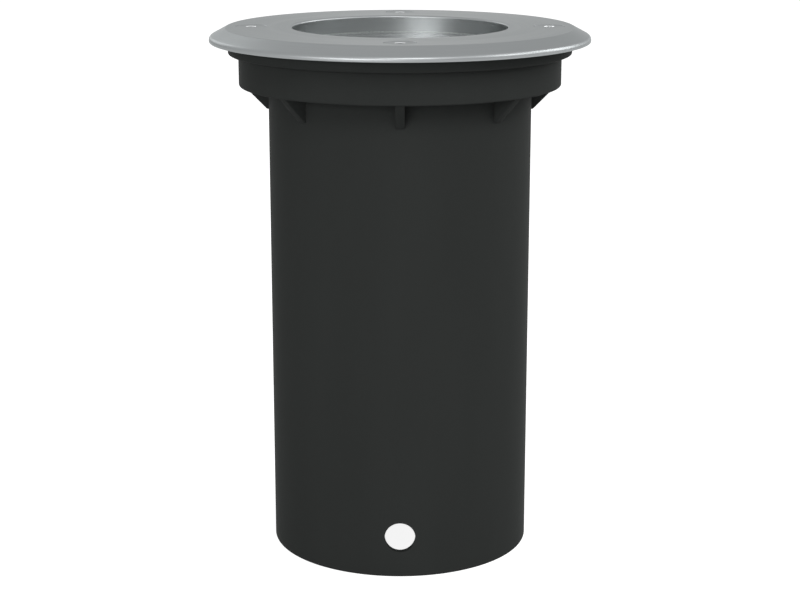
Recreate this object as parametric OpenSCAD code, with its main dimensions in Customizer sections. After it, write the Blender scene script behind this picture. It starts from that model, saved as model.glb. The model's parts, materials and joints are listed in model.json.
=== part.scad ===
// Round in-ground uplighter: a lamp unit that drops into a buried ground sleeve.
// Millimetres, +Z up. The origin is the centre of the sleeve's foot, on the bottom plane.
// The cable hole and one of the face screws are at the front, on -Y.

/* [Ground sleeve] */
// Outer diameter of the barrel
barrel_d = 76.4; // [75.6:0.2:79]
// Wall of the barrel
barrel_wall = 2; // [1.4:0.1:2.4]
// Height of the barrel, from its foot to the underside of the collar
barrel_h = 137.8; // [130:0.2:200]
// How far the collar stands out past the barrel
collar_w = 8.5; // [8.2:0.1:9.6]
// Wall of the collar
collar_wall = 1.6; // [1.2:0.1:1.8]
// Height of the collar
collar_h = 9.2; // [8.8:0.1:14]
// Thickness of the shelf that joins the barrel to the collar
shelf_t = 2; // [1.4:0.1:2.2]
// Number of gusset ribs under the collar
rib_count = 8; // [4:1:12]
// Thickness of a rib
rib_t = 2.6; // [1.6:0.1:4]
// How far a rib stands out past the barrel
rib_w = 7.4; // [4:0.1:7.8]
// Length of a rib down the barrel
rib_drop = 7.3; // [5:0.1:12]
// How far the barrel's wall flares out under the shelf, between the ribs
root_flare = 0.6; // [0.4:0.1:1]
// Diameter of the cable hole near the foot
cable_hole_d = 8.8; // [7:0.1:14]
// Height of the cable hole's centre above the foot
cable_hole_z = 12; // [9:0.5:20]

/* [Face ring] */
// How far the face ring stands out past the housing's flange
ring_lap = 5.35; // [5.05:0.05:10]
// Thickness of the face ring
ring_t = 4; // [3.6:0.1:5]
// Width of the bevel round the outside
bevel_w = 4.8; // [4:0.1:5]
// Slope of the bevel below the flat top
bevel_angle = 28; // [20:1:32]
// Radius of the outer edge below the bevel
edge_round = 1.2; // [0.6:0.1:1.4]
// Small chamfer of the outer edge on the underside
under_chamfer = 0.3; // [0.2:0.1:0.5]
// Radius of the lip round the light opening
lip_round = 0.5; // [0.3:0.1:0.8]
// Width of the groove on the underside, over the edge of the housing's flange
relief_w = 0.8; // [0.6:0.1:1.2]
// Depth of that groove
relief_h = 0.3; // [0.2:0.1:0.5]
// Radial width of the spigot that presses the glass
spigot_w = 1.6; // [1.2:0.1:2]

/* [Glass and seals] */
// Depth of the glass below the top of the face ring
glass_recess = 4.7; // [4.6:0.1:5.2]
// Thickness of the glass
glass_t = 5; // [4:0.5:5.5]
// How far the glass reaches past the light opening
glass_lap = 3; // [2.6:0.1:3.2]
// Thickness of the gasket under and round the glass
gasket_t = 1; // [0.8:0.1:1.2]
// Thickness of the reflector's spun sheet
reflector_t = 0.8; // [0.6:0.1:1]
// Gap between the foot of the reflector and the front of the lamp
reflector_gap = 1; // [0.6:0.1:2]
// Distance from the glass seat to the flat seal between the face ring and the housing
seal_land = 1.8; // [1.6:0.1:1.9]
// Width of that flat seal
seal_w = 1.8; // [1.4:0.1:1.9]
// Thickness of the flat seal
seal_t = 1.4; // [1:0.1:1.6]

/* [Lamp housing] */
// How far the housing's flange stands out past the collar
flange_lap = 2.95; // [2.6:0.05:4]
// Thickness of the flange
flange_t = 3.4; // [3.3:0.1:5]
// Wall of the pot
pot_wall = 2.2; // [1.6:0.1:2.4]
// Thickness of the pot's floor
floor_t = 4; // [3.6:0.1:6]
// Height of the skirt that centres the housing in the collar
skirt_h = 5; // [4:0.1:5.4]
// Wall of the skirt
skirt_wall = 1.8; // [1.4:0.1:2.2]
// Wall round the glass seat
seat_wall = 2.2; // [1.8:0.1:2.4]
// Thickness of the seat under the gasket
seat_t = 2.2; // [1.8:0.1:2.4]

/* [Face screws] */
// Distance from the centre of a face screw to the edge of the flange
screw_inset = 6.65; // [6.4:0.05:6.8]
// Diameter of a face screw's thread
screw_d = 4; // [3:0.5:4]
// Diameter of a face screw's head
screw_head_d = 8.8; // [7.6:0.1:9]
// Cylindrical edge of the countersunk head
screw_edge = 0.3; // [0.2:0.1:0.4]
// How far the screw reaches into the housing
screw_grip = 2.7; // [2:0.1:2.8]
// Width across flats of the hexagon socket
socket_af = 2.5; // [2:0.5:3]
// Depth of the hexagon socket
socket_depth = 1.6; // [1.2:0.1:1.8]
// Outer diameter of the threaded insert
insert_d = 5.4; // [5:0.1:5.6]
// Length of the threaded insert
insert_l = 3; // [2.9:0.1:3.1]

/* [Lamp] */
// Diameter of the lamp's front
lamp_d = 50; // [48:0.5:51]
// Length of the lamp from its front to the foot of its base, without the pins
lamp_l = 46; // [44:0.5:50]
// Gap between the lamp's front and the glass
lamp_gap = 8; // [6:0.5:14]
// Diameter of the lamp's base
base_d = 20; // [18:0.5:20.5]
// Height of the lamp's base
base_h = 12; // [10:0.5:14]
// Length of the straight rim round the lamp's front
lamp_rim = 6; // [5:0.5:8]
// Number of cooling fins on the lamp
fin_count = 20; // [12:1:28]
// Thickness of a cooling fin
fin_t = 1.2; // [0.8:0.1:1.6]
// Wall of the lamp's shell
shell_t = 1.6; // [1.2:0.1:2]
// Distance between the lamp's pins
pin_pitch = 10; // [10:0.1:10.4]
// Diameter of a pin's neck
pin_neck_d = 3; // [2.6:0.1:3.2]
// Diameter of a pin's head
pin_head_d = 4.8; // [4.6:0.1:5]
// Height of a pin's head
pin_head_h = 2; // [1.6:0.1:2.2]
// Length of a pin below the base
pin_l = 6.5; // [6.2:0.1:7]
// Thickness of the lamp's front lens
lens_t = 1.6; // [1.2:0.1:2.4]
// Depth of the light board below the lens
board_depth = 9; // [7:0.5:12]
// Number of light chips on the board
chip_count = 6; // [3:1:8]

/* [Lampholder] */
// Length of the lampholder
holder_l = 30; // [29:0.5:34]
// Width of the lampholder
holder_w = 20; // [19:0.5:24]
// Height of the lampholder
holder_h = 14; // [12:0.5:18]
// Thickness of the lampholder's roof over the pin chambers
holder_roof = 3.5; // [3:0.1:3.8]
// Angle through which the lamp turns to unlock
twist = 45; // [40:1:50]
// Distance between the lampholder's screws
holder_pitch = 22; // [21:0.5:24]
// Thickness of a contact plate
contact_t = 0.5; // [0.3:0.1:0.7]
// Diameter of a contact's stem
stem_d = 1.8; // [1.4:0.1:2.2]

/* [Bracket] */
// Height of the bracket
bracket_h = 20; // [19:0.5:28]
// Distance over the bracket's legs
bracket_l = 40; // [38:0.5:42]
// Width of the bracket
bracket_w = 22; // [20:0.5:24]
// Thickness of the bracket's steel strip
strip_t = 1.5; // [1:0.1:1.6]
// Length of a bracket foot
foot_l = 9; // [8:0.5:9.5]
// Diameter of the small screws
small_d = 3; // [2.5:0.1:3]
// Diameter of the small screws' heads
small_head_d = 5.5; // [5:0.1:5.6]
// Height of the small screws' heads
small_head_h = 2; // [1.6:0.1:2.2]

/* [Terminal block and leads] */
// Distance between two poles
pole_pitch = 8; // [7.6:0.1:8.2]
// Depth of the terminal block, along the wires
block_w = 12; // [11:0.5:12.5]
// Height of the terminal block
block_h = 14; // [12.5:0.5:16]
// Height of the wires above the floor
wire_z = 7.5; // [7.2:0.1:8]
// Outer diameter of a clamping tube
tube_d = 3.8; // [3.6:0.1:4]
// Bore of a clamping tube
tube_bore = 2.6; // [2.5:0.1:2.8]
// Diameter of a clamping screw
clamp_d = 2.4; // [2:0.1:2.5]
// Diameter of an inner lead
lead_d = 2; // [1.6:0.1:2.1]

/* [Cable gland] */
// Thread diameter of the cable gland
gland_d = 16; // [15:0.5:18]
// Width across flats of the gland's body and nut
gland_af = 20; // [19.5:0.5:24]
// Thickness of the gland's hexagon
gland_hex_t = 5; // [4:0.5:6]
// Length of the thread that carries the nut
gland_thread_l = 9; // [8:0.5:11]
// Bore for the cable in the rubber seal
cable_d = 8; // [7:0.1:8.4]
// Wall of the rubber seal
gland_seal_wall = 2; // [1.6:0.1:2.2]
// Thickness of the gland's washer
washer_t = 1.5; // [1:0.1:2]
// Outer diameter of the gland's washer
washer_d = 23; // [22:0.5:25]
// Width across flats of the locknut
locknut_af = 22; // [21:0.5:22.5]
// Thickness of the locknut
locknut_t = 5; // [4:0.5:5.4]

/* [Clearances] */
// Gap between the pot and the barrel's bore
pot_gap = 1.2; // [0.8:0.1:1.6]
// Gap between the skirt and the collar's bore
skirt_gap = 0.5; // [0.3:0.1:0.8]
// Gap round the gasket and the reflector in the housing
seat_gap = 0.3; // [0.3:0.1:0.5]
// Gap round a thread in its nut or insert
thread_gap = 0.08; // [0.05:0.01:0.1]
// Gap round a screw's shank in a plain hole
hole_gap = 0.2; // [0.15:0.05:0.3]
// Gap between pieces that are put together by hand
push_gap = 0.1; // [0.05:0.05:0.15]
// Gap round a lamp pin in its slot
pin_gap = 0.35; // [0.3:0.05:0.45]

/* [Hidden] */
$fn = 96;
// Overlap that joins the shapes of one piece, and carries cuts past a surface
eps = 0.5;
// Four face screws, each a piece of its own, and a pole for live, neutral and earth
screw_count = 4;
pole_count = 3;

barrel_r = barrel_d / 2;
barrel_bore_r = barrel_r - barrel_wall;
root_r = barrel_r + root_flare;
collar_r = barrel_r + collar_w;
collar_bore_r = collar_r - collar_wall;
flange_r = collar_r + flange_lap;
ring_r = flange_r + ring_lap;

// Heights, from the foot of the barrel upwards
ribs_foot = barrel_h - rib_drop;
collar_top = barrel_h + collar_h;
flange_top = collar_top + flange_t;
face_top = flange_top + ring_t;
glass_top = face_top - glass_recess;
glass_foot = glass_top - glass_t;
gasket_foot = glass_foot - gasket_t;
seat_top = gasket_foot - reflector_t;
lamp_front = glass_foot - lamp_gap;
lamp_foot = lamp_front - lamp_l;
holder_foot = lamp_foot - holder_h;
floor_top = holder_foot - bracket_h;
pot_foot = floor_top - floor_t;
washer_foot = pot_foot - washer_t;
hex_foot = washer_foot - gland_hex_t;
thread_foot = hex_foot - gland_thread_l;

// Radii of the lamp unit and the face, from the barrel's bore inwards. The spigot presses on the
// glass right above the pot's wall
pot_r = barrel_bore_r - pot_gap;
pot_bore_r = pot_r - pot_wall;
spigot_r = pot_bore_r;
ring_bore_r = spigot_r - spigot_w;
glass_r = ring_bore_r + glass_lap;
gasket_r = glass_r + push_gap + gasket_t;
seat_r = gasket_r + seat_gap;
skirt_r = collar_bore_r - skirt_gap;
reflector_mouth_r = pot_bore_r - seat_gap;
reflector_foot = lamp_front + reflector_gap;
reflector_curve = 1.6;
reflector_lip = gasket_t - 0.3;
seal_bore_r = seat_r + seal_land;
seal_r = seal_bore_r + seal_w;
screw_ring_r = flange_r - screw_inset;
insert_r = insert_d / 2;
screw_r = screw_d / 2;
screw_head_r = screw_head_d / 2;
screw_sink = push_gap;
screw_tip = flange_top - screw_grip;

// The lamp and its holder
lamp_r = lamp_d / 2;
base_r = base_d / 2;
neck_r = pin_neck_d / 2;
head_r = pin_head_d / 2;
base_top = lamp_foot + base_h;
base_floor = 3;
rim_foot = lamp_front - lamp_rim;
lens_r = lamp_r - shell_t - push_gap;
board_t = 1.6;
board_top = lamp_front - lens_t - board_depth;
board_r = shell_r(board_top - board_t) - shell_t - push_gap;
chip_w = 3;
chip_t = 0.9;
chip_ring_r = 0.55 * board_r;
driver_w = 12;
driver_l = 20;
driver_t = 1.2;
driver_part = 7;
chamber_foot = lamp_foot - pin_l - contact_t - push_gap - 0.3;
holder_screw_x = holder_pitch / 2;
small_r = small_d / 2;
small_head_r = small_head_d / 2;
counterbore_h = small_head_h + 1;
strip_top = holder_foot;
leg_x = bracket_l / 2;
foot_screw_x = leg_x + foot_l / 2;
foot_top = floor_top + strip_t;
foot_w = 12;
window_l = 8;
window_w = bracket_w - 6;
small_bite = 3;

// The terminal block stands behind the locknut
locknut_r = locknut_af / 2 / cos(30);
block_l = pole_count * pole_pitch;
block_y = locknut_r + 1 + block_w / 2;
block_top = floor_top + block_h;
wire_top = floor_top + wire_z;
tube_r = tube_d / 2;
clamp_r = clamp_d / 2;
clamp_y = block_w / 4;
lead_r = lead_d / 2;
lead_in = 3;
lead_start_y = block_y - block_w / 2 + lead_in;
stem_r = stem_d / 2;
stem_foot = holder_foot - 3;
pin_y = pin_pitch / 2;
lug_t = 0.8;
lug_r = 3;
lug_z = floor_top + bracket_h / 2 + 1;
leg_in_x = leg_x - strip_t;
earth_head_x = leg_in_x - lug_t;

// The cable gland hangs from the centre of the floor
gland_r = gland_d / 2;
cable_r = cable_d / 2;
gland_seal_r = cable_r + gland_seal_wall;
stud_top = floor_top + locknut_t + 1;
nut_gap = 0.3;
nut_top = hex_foot - nut_gap;
nut_seat = thread_foot - 0.6;
nut_foot = nut_seat - 3;
nut_dome = 2.5;

plastic = "#313332";
steel = "#a9acad";

// Helpers for shapes that repeat

// A tube wall between two radii
module pipe(outer, inner, h) {
    difference() {
        cylinder(r = outer, h = h);
        translate([0, 0, -eps]) cylinder(r = inner, h = h + 2 * eps);
    }
}

// A hexagon bar, measured across its flats, with two flats facing along Y
module hexagon_bar(af, h) {
    cylinder(r = af / 2 / cos(30), h = h, $fn = 6);
}

// Each child once at every face screw, counted from the front
module at_face_screws() {
    for (i = [0:screw_count - 1])
        rotate(i * 360 / screw_count - 90) translate([screw_ring_r, 0, 0]) children();
}

// A pan head screw whose head stands on z = 0 and whose shank points down
module pan_screw(length) {
    difference() {
        union() {
            cylinder(r = small_head_r, h = small_head_h);
            translate([0, 0, -length]) cylinder(r = small_r, h = length + eps);
        }
        translate([0, 0, small_head_h - 0.9]) for (a = [0, 90]) rotate(a)
            translate([-1.6, -0.35, 0]) cube([3.2, 0.7, 2]);
    }
}

// Points along a smooth curve through a list of points
function spline(p, steps) = [
    for (i = [0:len(p) - 2]) for (s = [0:steps - 1])
        let (
            t = s / steps,
            a = p[max(i - 1, 0)],
            b = p[i],
            c = p[i + 1],
            d = p[min(i + 2, len(p) - 1)]
        )
        0.5 * (2 * b + (c - a) * t + (2 * a - 5 * b + 4 * c - d) * t * t
            + (3 * b - a - 3 * c + d) * t * t * t),
    p[len(p) - 1]
];
function unit(v) = v / norm(v);

// A round tube of radius r along the path; side is a direction that the path never takes
module swept_tube(path, r, side, sides = 10) {
    n = len(path);
    tangents = [for (i = [0:n - 1]) unit(path[min(i + 1, n - 1)] - path[max(i - 1, 0)])];
    rings = [
        for (i = [0:n - 1])
            let (
                u = unit(cross(side, tangents[i])),
                v = cross(tangents[i], u)
            )
            for (k = [0:sides - 1])
                path[i] + r * (cos(360 * k / sides) * u + sin(360 * k / sides) * v)
    ];
    walls = [
        for (i = [0:n - 2]) for (k = [0:sides - 1])
            let (
                a = i * sides + k,
                b = i * sides + (k + 1) % sides
            )
            each [[a, b + sides, b], [a, a + sides, b + sides]]
    ];
    start_cap = [for (k = [1:sides - 2]) [0, k, k + 1]];
    last = (n - 1) * sides;
    end_cap = [for (k = [1:sides - 2]) [last, last + k + 1, last + k]];
    polyhedron(points = rings, faces = concat(walls, start_cap, end_cap));
}

// Ground sleeve

// The sleeve is one moulding, drawn as a plain barrel, a collar that starts where the ribs start,
// and the ribs

module sleeve_barrel() {
    color(plastic) difference() {
        pipe(barrel_r, barrel_bore_r, ribs_foot);
        translate([0, 0, cable_hole_z]) rotate([90, 0, 0])
            cylinder(d = cable_hole_d, h = barrel_r + eps);
    }
}

module sleeve_collar() {
    color(plastic) rotate_extrude() polygon([
        [barrel_bore_r, ribs_foot],
        [barrel_r, ribs_foot],
        [root_r, barrel_h],
        [collar_r, barrel_h],
        [collar_r, collar_top],
        [collar_bore_r, collar_top],
        [collar_bore_r, barrel_h + shelf_t],
        [barrel_bore_r, barrel_h + shelf_t]
    ]);
}

// Triangular gussets between the barrel and the underside of the collar
module sleeve_ribs() {
    color(plastic) difference() {
        for (i = [0:rib_count - 1]) rotate(i * 360 / rib_count - 90)
            rotate([90, 0, 0]) translate([0, 0, -rib_t / 2]) linear_extrude(rib_t)
                polygon([
                    [barrel_bore_r, ribs_foot],
                    [barrel_r, ribs_foot],
                    [barrel_r + rib_w, barrel_h],
                    [barrel_bore_r, barrel_h]
                ]);
        rotate_extrude() polygon([
            [0, ribs_foot - eps],
            [barrel_r, ribs_foot - eps],
            [barrel_r, ribs_foot],
            [root_r, barrel_h],
            [root_r, barrel_h + eps],
            [0, barrel_h + eps]
        ]);
    }
}

// Lamp housing

module lamp_housing() {
    color(plastic) difference() {
        union() {
            translate([0, 0, collar_top]) cylinder(r = flange_r, h = flange_t);
            translate([0, 0, collar_top - skirt_h])
                pipe(skirt_r, skirt_r - skirt_wall, skirt_h + eps);
            translate([0, 0, seat_top - seat_t])
                cylinder(r = seat_r + seat_wall, h = collar_top - seat_top + seat_t + eps);
            translate([0, 0, pot_foot]) cylinder(r = pot_r, h = collar_top - pot_foot);
        }
        translate([0, 0, floor_top]) cylinder(r = pot_bore_r, h = seat_top - floor_top + eps);
        translate([0, 0, seat_top]) cylinder(r = seat_r, h = flange_top - seat_top + eps);
        translate([0, 0, flange_top - seal_t]) pipe(seal_r, seal_bore_r, seal_t + eps);
        at_face_screws() translate([0, 0, flange_top - insert_l])
            cylinder(r = insert_r, h = insert_l + eps);
        translate([0, 0, pot_foot - eps])
            cylinder(r = gland_r + hole_gap, h = floor_t + 2 * eps);
        for (x = [-foot_screw_x, foot_screw_x]) translate([x, 0, floor_top - small_bite])
            cylinder(r = small_r, h = small_bite + eps);
        for (x = [-pole_pitch / 2, pole_pitch / 2])
            translate([x, block_y, floor_top - small_bite])
                cylinder(r = clamp_r, h = small_bite + eps);
    }
}

module thread_inserts() {
    color("#b9975a") at_face_screws() translate([0, 0, flange_top - insert_l])
        pipe(insert_r, screw_r + thread_gap, insert_l);
}

module flange_seal() {
    color("#202020") translate([0, 0, flange_top - seal_t])
        pipe(seal_r, seal_bore_r, seal_t);
}

// Face ring, glass and gasket

// Half of the ring's section: the flat top, the bevel and the rounded outer edge
function ring_section() =
    let (
        turn = 90 - bevel_angle,
        edge_x = ring_r - edge_round,
        start_x = edge_x + edge_round * cos(turn),
        start_z = face_top - (start_x - ring_r + bevel_w) * tan(bevel_angle),
        edge_z = start_z - edge_round * sin(turn),
        lip_x = ring_bore_r + lip_round,
        lip_z = face_top - lip_round
    )
    [
        [ring_bore_r, glass_top],
        for (a = [180:-18:90]) [lip_x + lip_round * cos(a), lip_z + lip_round * sin(a)],
        [ring_r - bevel_w, face_top],
        for (i = [0:6]) let (a = turn * (1 - i / 6))
            [edge_x + edge_round * cos(a), edge_z + edge_round * sin(a)],
        [ring_r, flange_top + under_chamfer],
        [ring_r - under_chamfer, flange_top],
        [flange_r + relief_w / 2, flange_top],
        [flange_r + relief_w / 2, flange_top + relief_h],
        [flange_r, flange_top + relief_h],
        [flange_r - relief_w / 2, flange_top],
        [spigot_r, flange_top],
        [spigot_r, glass_top]
    ];

module face_ring() {
    sink_z = face_top - screw_edge - screw_sink;
    color(steel) difference() {
        rotate_extrude() polygon(ring_section());
        at_face_screws() {
            translate([0, 0, flange_top - eps])
                cylinder(r = screw_r + hole_gap, h = ring_t + 2 * eps);
            translate([0, 0, sink_z])
                cylinder(r = screw_head_r + push_gap, h = ring_t);
            translate([0, 0, sink_z - screw_head_r + screw_r])
                cylinder(r1 = screw_r + push_gap, r2 = screw_head_r + push_gap,
                    h = screw_head_r - screw_r);
        }
    }
}

module cover_glass() {
    color("#dfe8ea", 0.35) translate([0, 0, glass_foot]) cylinder(r = glass_r, h = glass_t);
}

module glass_gasket() {
    color("#2a2a2a") difference() {
        translate([0, 0, gasket_foot]) cylinder(r = gasket_r, h = flange_top - gasket_foot);
        translate([0, 0, glass_foot]) cylinder(r = glass_r, h = glass_t);
        translate([0, 0, gasket_foot - eps]) cylinder(r = pot_bore_r, h = gasket_t + 2 * eps);
        translate([0, 0, glass_top - eps])
            cylinder(r = spigot_r, h = flange_top - glass_top + 2 * eps);
    }
}

// Point on the reflector's wall, s from 0 at its mouth to 1 at its foot, inset along the normal
function reflector_wall(s, inset) =
    let (
        drop = seat_top - reflector_foot,
        narrow = reflector_mouth_r - lamp_r - reflector_t,
        slope = reflector_curve * narrow * pow(s, reflector_curve - 1),
        length = norm([slope, drop])
    )
    [
        reflector_mouth_r - narrow * pow(s, reflector_curve) - inset * drop / length,
        seat_top - drop * s + inset * slope / length
    ];

// Bowl between the glass and the lamp: a curved wall, a flat rim on the seat, and a lip inside
// the gasket that stops short of the glass
module reflector() {
    steps = 8;
    color("#d3d6d8") rotate_extrude() polygon(concat(
        [[gasket_r, seat_top]],
        [for (i = [0:steps]) reflector_wall(i / steps, 0)],
        [for (i = [steps:-1:0]) reflector_wall(i / steps, reflector_t)],
        [[reflector_mouth_r - reflector_t, gasket_foot + reflector_lip]],
        [[reflector_mouth_r, gasket_foot + reflector_lip], [reflector_mouth_r, gasket_foot]],
        [[gasket_r, gasket_foot]]
    ));
}

// Countersunk face screw with a hexagon socket, at its place in the ring
module face_screw(i) {
    head_top = face_top - screw_sink;
    cone_h = screw_head_r - screw_r;
    color("#b8bcbe") rotate(i * 360 / screw_count - 90) translate([screw_ring_r, 0, 0])
        difference() {
            union() {
                translate([0, 0, head_top - screw_edge])
                    cylinder(r = screw_head_r, h = screw_edge);
                translate([0, 0, head_top - screw_edge - cone_h])
                    cylinder(r1 = screw_r, r2 = screw_head_r, h = cone_h);
                translate([0, 0, screw_tip]) cylinder(r = screw_r, h = head_top - screw_tip - 1);
            }
            translate([0, 0, head_top - socket_depth])
                rotate(90 - i * 360 / screw_count) hexagon_bar(socket_af, socket_depth + eps);
        }
}

// Lamp with two twist-and-lock pins

// Radius of the lamp's shell at a height between its base and its rim
function shell_r(z) =
    let (s = (z - base_top) / (rim_foot - base_top))
    base_r + (lamp_r - base_r) * (1.5 * s - 0.5 * s * s * s) * 0.86;

module lamp_heat_sink() {
    steps = 8;
    span = rim_foot - base_top;
    outer = [for (i = [0:steps]) let (z = base_top + i * span / steps) [shell_r(z), z]];
    inner = [for (i = [steps:-1:0]) let (z = base_top + i * span / steps) [shell_r(z) - shell_t, z]];
    color("#dcdedd") {
        rotate_extrude() polygon(concat(
            outer,
            [[lamp_r, rim_foot], [lamp_r, lamp_front], [lamp_r - shell_t, lamp_front]],
            [[lamp_r - shell_t, rim_foot + shell_t]],
            [[shell_r(rim_foot) - shell_t, rim_foot + shell_t]],
            inner
        ));
        for (i = [0:fin_count - 1]) rotate(i * 360 / fin_count)
            rotate([90, 0, 0]) translate([0, 0, -fin_t / 2]) linear_extrude(fin_t)
                polygon(concat(
                    [for (p = outer) [p[0] - shell_t / 2, p[1]]],
                    [[lamp_r - 0.3, rim_foot], [base_r + 1.5, base_top]]
                ));
    }
}

module lamp_base() {
    color("#e6e4de") translate([0, 0, lamp_foot]) difference() {
        cylinder(r = base_r, h = base_h);
        translate([0, 0, base_floor]) cylinder(r = base_r - shell_t, h = base_h);
        for (y = [-pin_y, pin_y]) translate([0, y, -eps])
            cylinder(r = neck_r, h = base_floor + 2 * eps);
    }
}

module lamp_pins() {
    color("#b4b4ae") for (y = [-pin_y, pin_y]) translate([0, y, lamp_foot - pin_l]) {
        cylinder(r = head_r, h = pin_head_h);
        cylinder(r = neck_r, h = pin_l + 5);
    }
}

module lamp_lens() {
    color("#e9eef0", 0.6) translate([0, 0, lamp_front - lens_t]) cylinder(r = lens_r, h = lens_t);
}

module light_board() {
    color("#e8e8e4") translate([0, 0, board_top - board_t]) cylinder(r = board_r, h = board_t);
}

module light_chips() {
    color("#e7d35c") for (i = [0:chip_count - 1])
        rotate(i * 360 / chip_count) translate([chip_ring_r, 0, board_top])
            translate([-chip_w / 2, -chip_w / 2, 0]) cube([chip_w, chip_w, chip_t]);
}

module driver_board() {
    color("#2f6b43") translate([-driver_w / 2, -driver_t / 2, lamp_foot + base_floor])
        cube([driver_w, driver_t, driver_l]);
    color("#20242c") translate([-driver_part / 2, driver_t / 2, base_top - driver_part / 2])
        cube([driver_part, driver_part / 2, driver_part]);
}

// Lampholder

// Arc slot for a pin: the pin goes in at the far end and locks at the start
module pin_slot(width, h) {
    r = width / 2;
    for (side = [0, 180]) rotate(90 + side) {
        rotate_extrude(angle = twist) translate([pin_y - r, 0]) square([width, h]);
        translate([pin_y, 0, 0]) cylinder(r = r, h = h);
        rotate(twist) translate([pin_y, 0, 0]) cylinder(r = r, h = h);
    }
}

module lampholder() {
    neck_w = 2 * (neck_r + pin_gap);
    head_w = 2 * (head_r + pin_gap);
    color("#efece4") difference() {
        translate([-holder_l / 2, -holder_w / 2, holder_foot]) cube([holder_l, holder_w, holder_h]);
        translate([0, 0, lamp_foot - holder_roof - eps]) pin_slot(neck_w, holder_roof + 2 * eps);
        for (side = [0, 180]) rotate(90 + side + twist)
            translate([pin_y, 0, lamp_foot - holder_roof - eps])
                cylinder(d = head_w, h = holder_roof + 2 * eps);
        translate([0, 0, chamber_foot]) pin_slot(head_w, lamp_foot - holder_roof - chamber_foot);
        for (y = [-pin_y, pin_y]) translate([0, y, holder_foot - eps])
            cylinder(r = stem_r + push_gap, h = holder_h);
        for (x = [-holder_screw_x, holder_screw_x]) translate([x, 0, holder_foot]) {
            translate([0, 0, -eps]) cylinder(r = small_r + hole_gap, h = holder_h + 2 * eps);
            translate([0, 0, holder_h - counterbore_h])
                cylinder(r = small_head_r + hole_gap, h = counterbore_h + eps);
        }
    }
}

module lampholder_contacts() {
    color("#c9a24a") for (y = [-pin_y, pin_y]) translate([0, y, 0]) {
        translate([0, 0, chamber_foot]) cylinder(r = head_r - push_gap, h = contact_t);
        translate([0, 0, stem_foot]) cylinder(r = stem_r, h = chamber_foot - stem_foot + contact_t);
    }
}

module lampholder_screws() {
    color(steel) for (x = [-holder_screw_x, holder_screw_x])
        translate([x, 0, lamp_foot - counterbore_h])
            pan_screw(holder_h - counterbore_h + strip_t + 2);
}

// Bracket that carries the lampholder on the floor of the pot
module holder_bracket() {
    color(steel) difference() {
        union() {
            translate([-leg_x, -bracket_w / 2, strip_top - strip_t])
                cube([bracket_l, bracket_w, strip_t]);
            for (side = [0, 180]) rotate(side) {
                translate([leg_in_x, -bracket_w / 2, floor_top])
                    cube([strip_t, bracket_w, bracket_h]);
                translate([leg_in_x, -foot_w / 2, floor_top])
                    cube([foot_l + strip_t, foot_w, strip_t]);
            }
        }
        translate([-window_l / 2, -window_w / 2, strip_top - strip_t - eps])
            cube([window_l, window_w, strip_t + 2 * eps]);
        for (x = [-holder_screw_x, holder_screw_x])
            translate([x, 0, strip_top - strip_t - eps])
                cylinder(r = small_r, h = strip_t + 2 * eps);
        for (x = [-foot_screw_x, foot_screw_x]) translate([x, 0, floor_top - eps])
            cylinder(r = small_r + hole_gap, h = strip_t + 2 * eps);
        translate([leg_in_x - eps, 0, lug_z]) rotate([0, 90, 0])
            cylinder(r = small_r, h = strip_t + 2 * eps);
    }
}

module bracket_screws() {
    color(steel) for (x = [-foot_screw_x, foot_screw_x]) translate([x, 0, foot_top])
        pan_screw(strip_t + small_bite);
}

// Terminal block and inner leads

function pole_x(i) = (i - (pole_count - 1) / 2) * pole_pitch;

module terminal_block() {
    color("#d9d6cc") difference() {
        translate([-block_l / 2, block_y - block_w / 2, floor_top]) cube([block_l, block_w, block_h]);
        for (i = [0:pole_count - 1]) translate([pole_x(i), block_y, wire_top]) {
            rotate([90, 0, 0]) translate([0, 0, -block_w / 2 - eps])
                cylinder(r = tube_r, h = block_w + 2 * eps);
            for (y = [-clamp_y, clamp_y]) translate([0, y, 0])
                cylinder(r = clamp_r + hole_gap, h = block_h);
        }
        for (x = [-pole_pitch / 2, pole_pitch / 2]) translate([x, block_y, floor_top - eps])
            cylinder(r = clamp_r + push_gap, h = block_h + 2 * eps);
    }
}

module terminal_tubes() {
    color("#c8a557") for (i = [0:pole_count - 1]) translate([pole_x(i), block_y, wire_top])
        difference() {
            rotate([90, 0, 0]) translate([0, 0, -block_w / 2 + 0.5])
                pipe(tube_r, tube_bore / 2, block_w - 1);
            for (y = [-clamp_y, clamp_y]) translate([0, y, 0])
                cylinder(r = clamp_r, h = tube_d);
        }
}

module terminal_screws() {
    color(steel) for (i = [0:pole_count - 1]) for (y = [-clamp_y, clamp_y])
        translate([pole_x(i), block_y + y, wire_top + lead_r + push_gap]) difference() {
            cylinder(r = clamp_r, h = block_top - wire_top - lead_r - 1);
            translate([-tube_r, -0.25, block_top - wire_top - lead_r - 1.8]) cube([tube_d, 0.5, 2]);
        }
}

module terminal_fixing_screws() {
    color(steel) for (x = [-pole_pitch / 2, pole_pitch / 2])
        translate([x, block_y, floor_top - small_bite]) difference() {
            union() {
                cylinder(r = clamp_r, h = small_bite + block_h + eps);
                translate([0, 0, small_bite + block_h]) cylinder(r = clamp_r + 0.8, h = 1.4);
            }
            translate([-tube_r, -0.3, small_bite + block_h + 0.7]) cube([tube_d, 0.6, 2]);
        }
}

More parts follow.
